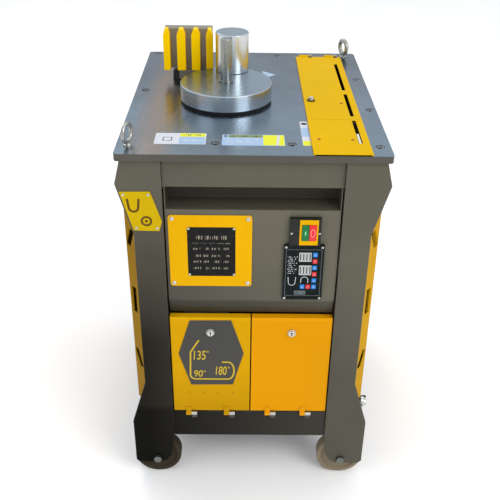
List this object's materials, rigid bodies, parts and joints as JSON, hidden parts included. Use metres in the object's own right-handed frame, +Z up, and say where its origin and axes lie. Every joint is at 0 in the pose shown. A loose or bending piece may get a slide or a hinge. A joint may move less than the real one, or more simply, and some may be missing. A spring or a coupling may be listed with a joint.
{
  "type": "rebar bender",
  "caption": "Floor-standing rebar bender: a powered turntable with a centre pin and roller bends bar against a toothed fence on a wheeled steel cabinet.",
  "frame": {"origin": "on the floor under the middle of the table plate", "axes": "+Z up, -Y towards the operator at the control panel, +X to the operator's right"},
  "size_m": [0.56, 0.67, 1.008],
  "materials": {
    "table_steel": "satin blue-grey",
    "frame_paint": "semi-gloss anthracite",
    "yellow_paint": "semi-gloss",
    "grey_plate": "matt",
    "machined_steel": "turned and polished",
    "fence_steel": "milled",
    "zinc": "zinc plated",
    "dark_plastic": "moulded",
    "yellow_plastic": "moulded",
    "green_plastic": "moulded",
    "red_plastic": "moulded",
    "blue_plastic": "moulded",
    "black_rubber": "matt",
    "wheel_plastic": "cast nylon",
    "case_iron": "painted casting",
    "motor_paint": "painted casting",
    "box_grey": "powder coat"
  },
  "bodies": {
    "frame": {"table_plate": "table_steel", "front_left_leg": "frame_paint", "front_right_leg": "frame_paint", "rear_legs": "frame_paint", "top_frame": "frame_paint", "bottom_frame": "frame_paint", "base_tray": "frame_paint", "control_fascia": "frame_paint", "left_side_panel": "yellow_paint", "right_side_panel": "yellow_paint", "rear_panel": "yellow_paint", "door_hinge_pins": "zinc", "info_plate": "yellow_paint", "corner_badge": "yellow_paint", "switch_box": "dark_plastic", "switch_faceplate": "yellow_plastic", "control_pad": "dark_plastic", "seal_ring": "black_rubber", "fence_base": "machined_steel", "top_cover_front": "yellow_paint", "lifting_eyes": "zinc", "wheel_axles": "zinc", "fasteners": "zinc", "main_bearings": "machined_steel", "gearbox_housing": "case_iron", "drive_belt": "black_rubber", "motor_housing": "motor_paint", "electrical_box": "box_grey", "cable_gland": "dark_plastic"},
    "turntable": {"bending_disc": "machined_steel", "centre_pin": "machined_steel", "main_shaft": "machined_steel", "main_gear": "machined_steel"},
    "roller": {"bending_roller": "machined_steel"},
    "gear_pair": {"intermediate_gear": "machined_steel"},
    "input": {"input_shaft": "machined_steel"},
    "rotor": {"motor_rotor": "machined_steel"},
    "fence": {"fence_block": "fence_steel", "fence_jaws": "yellow_paint"},
    "door_left": {"left_door": "yellow_paint", "hexagon_plate": "grey_plate"},
    "lock_left": {"left_door_lock": "zinc"},
    "door_right": {"right_door": "yellow_paint"},
    "lock_right": {"right_door_lock": "zinc"},
    "lid": {"top_cover_lid": "yellow_paint"},
    "lock_lid": {"lid_lock": "zinc"},
    "start": {"start_button": "green_plastic"},
    "stop": {"stop_button": "red_plastic"},
    "wheel_front_left": {"front_left_wheel": "wheel_plastic"},
    "wheel_front_right": {"front_right_wheel": "wheel_plastic"},
    "wheel_rear_left": {"rear_left_wheel": "wheel_plastic"},
    "wheel_rear_right": {"rear_right_wheel": "wheel_plastic"},
    "button_1": {"key_1": "blue_plastic"},
    "button_2": {"key_2": "red_plastic"},
    "button_3": {"key_3": "blue_plastic"},
    "button_4": {"key_4": "red_plastic"},
    "button_5": {"key_5": "blue_plastic"},
    "button_6": {"key_6": "blue_plastic"},
    "button_7": {"key_7": "blue_plastic"},
    "button_8": {"key_8": "red_plastic"}
  },
  "joints": [
    {"name": "disc_turn", "type": "hinge", "parent": "frame", "child": "turntable", "pos_m": [-0.06, -0.028, 0.895], "axis": [0, 0, 1], "range_deg": [-190, 0]},
    {"name": "roller_turn", "type": "hinge", "parent": "turntable", "child": "roller", "pos_m": [-0.048, 0.056, 0.95], "axis": [0, 0, 1], "continuous": true},
    {"name": "gear_turn", "type": "hinge", "parent": "frame", "child": "gear_pair", "pos_m": [-0.06, 0.0845, 0.78], "axis": [0, 0, 1], "range_deg": [-10, 770]},
    {"name": "input_turn", "type": "hinge", "parent": "frame", "child": "input", "pos_m": [0.0275, 0.0845, 0.72], "axis": [0, 0, 1], "range_deg": [-3060, 20]},
    {"name": "motor_turn", "type": "hinge", "parent": "frame", "child": "rotor", "pos_m": [0.15, 0.0845, 0.55], "axis": [0, 0, 1], "range_deg": [-9180, 60]},
    {"name": "fence_slide", "type": "slide", "parent": "frame", "child": "fence", "axis": [0, 1, 0], "range_m": [0, 0.04]},
    {"name": "door_left_swing", "type": "hinge", "parent": "frame", "child": "door_left", "pos_m": [-0.09, -0.327, 0.204], "axis": [1, 0, 0], "range_deg": [0, 100]},
    {"name": "lock_left_turn", "type": "hinge", "parent": "door_left", "child": "lock_left", "pos_m": [-0.09, -0.318, 0.44], "axis": [0, 1, 0], "range_deg": [0, 90]},
    {"name": "door_right_swing", "type": "hinge", "parent": "frame", "child": "door_right", "pos_m": [0.09, -0.327, 0.204], "axis": [1, 0, 0], "range_deg": [0, 100]},
    {"name": "lock_right_turn", "type": "hinge", "parent": "door_right", "child": "lock_right", "pos_m": [0.09, -0.318, 0.44], "axis": [0, 1, 0], "range_deg": [0, 90]},
    {"name": "lid_swing", "type": "hinge", "parent": "frame", "child": "lid", "pos_m": [0.17, 0.293, 0.874], "axis": [-1, 0, 0], "range_deg": [0, 95]},
    {"name": "lock_lid_turn", "type": "hinge", "parent": "lid", "child": "lock_lid", "pos_m": [0.13, -0.04, 0.87], "axis": [0, 0, 1], "range_deg": [0, 90]},
    {"name": "start_press", "type": "slide", "parent": "frame", "child": "start", "axis": [0, 1, 0], "range_m": [0, 0.003], "stiffness_N_per_m": 400, "springref_m": -0.003},
    {"name": "stop_press", "type": "slide", "parent": "frame", "child": "stop", "axis": [0, 1, 0], "range_m": [0, 0.003], "stiffness_N_per_m": 400, "springref_m": -0.003},
    {"name": "button_1_press", "type": "slide", "parent": "frame", "child": "button_1", "axis": [0, 1, 0], "range_m": [0, 0.001], "stiffness_N_per_m": 400, "springref_m": -0.001},
    {"name": "button_2_press", "type": "slide", "parent": "frame", "child": "button_2", "axis": [0, 1, 0], "range_m": [0, 0.001], "stiffness_N_per_m": 400, "springref_m": -0.001},
    {"name": "button_3_press", "type": "slide", "parent": "frame", "child": "button_3", "axis": [0, 1, 0], "range_m": [0, 0.001], "stiffness_N_per_m": 400, "springref_m": -0.001},
    {"name": "button_4_press", "type": "slide", "parent": "frame", "child": "button_4", "axis": [0, 1, 0], "range_m": [0, 0.001], "stiffness_N_per_m": 400, "springref_m": -0.001},
    {"name": "button_5_press", "type": "slide", "parent": "frame", "child": "button_5", "axis": [0, 1, 0], "range_m": [0, 0.001], "stiffness_N_per_m": 400, "springref_m": -0.001},
    {"name": "button_6_press", "type": "slide", "parent": "frame", "child": "button_6", "axis": [0, 1, 0], "range_m": [0, 0.001], "stiffness_N_per_m": 400, "springref_m": -0.001},
    {"name": "button_7_press", "type": "slide", "parent": "frame", "child": "button_7", "axis": [0, 1, 0], "range_m": [0, 0.001], "stiffness_N_per_m": 400, "springref_m": -0.001},
    {"name": "button_8_press", "type": "slide", "parent": "frame", "child": "button_8", "axis": [0, 1, 0], "range_m": [0, 0.001], "stiffness_N_per_m": 400, "springref_m": -0.001},
    {"name": "wheel_front_left_roll", "type": "hinge", "parent": "frame", "child": "wheel_front_left", "pos_m": [-0.224, -0.301, 0.056], "axis": [0, 1, 0], "continuous": true},
    {"name": "wheel_front_right_roll", "type": "hinge", "parent": "frame", "child": "wheel_front_right", "pos_m": [0.224, -0.301, 0.056], "axis": [0, 1, 0], "continuous": true},
    {"name": "wheel_rear_left_roll", "type": "hinge", "parent": "frame", "child": "wheel_rear_left", "pos_m": [-0.224, 0.301, 0.056], "axis": [0, 1, 0], "continuous": true},
    {"name": "wheel_rear_right_roll", "type": "hinge", "parent": "frame", "child": "wheel_rear_right", "pos_m": [0.224, 0.301, 0.056], "axis": [0, 1, 0], "continuous": true}
  ],
  "couplings": [
    {"joint": "gear_turn", "follows": "disc_turn", "ratio": -4},
    {"joint": "input_turn", "follows": "disc_turn", "ratio": 16},
    {"joint": "motor_turn", "follows": "disc_turn", "ratio": 48}
  ]
}
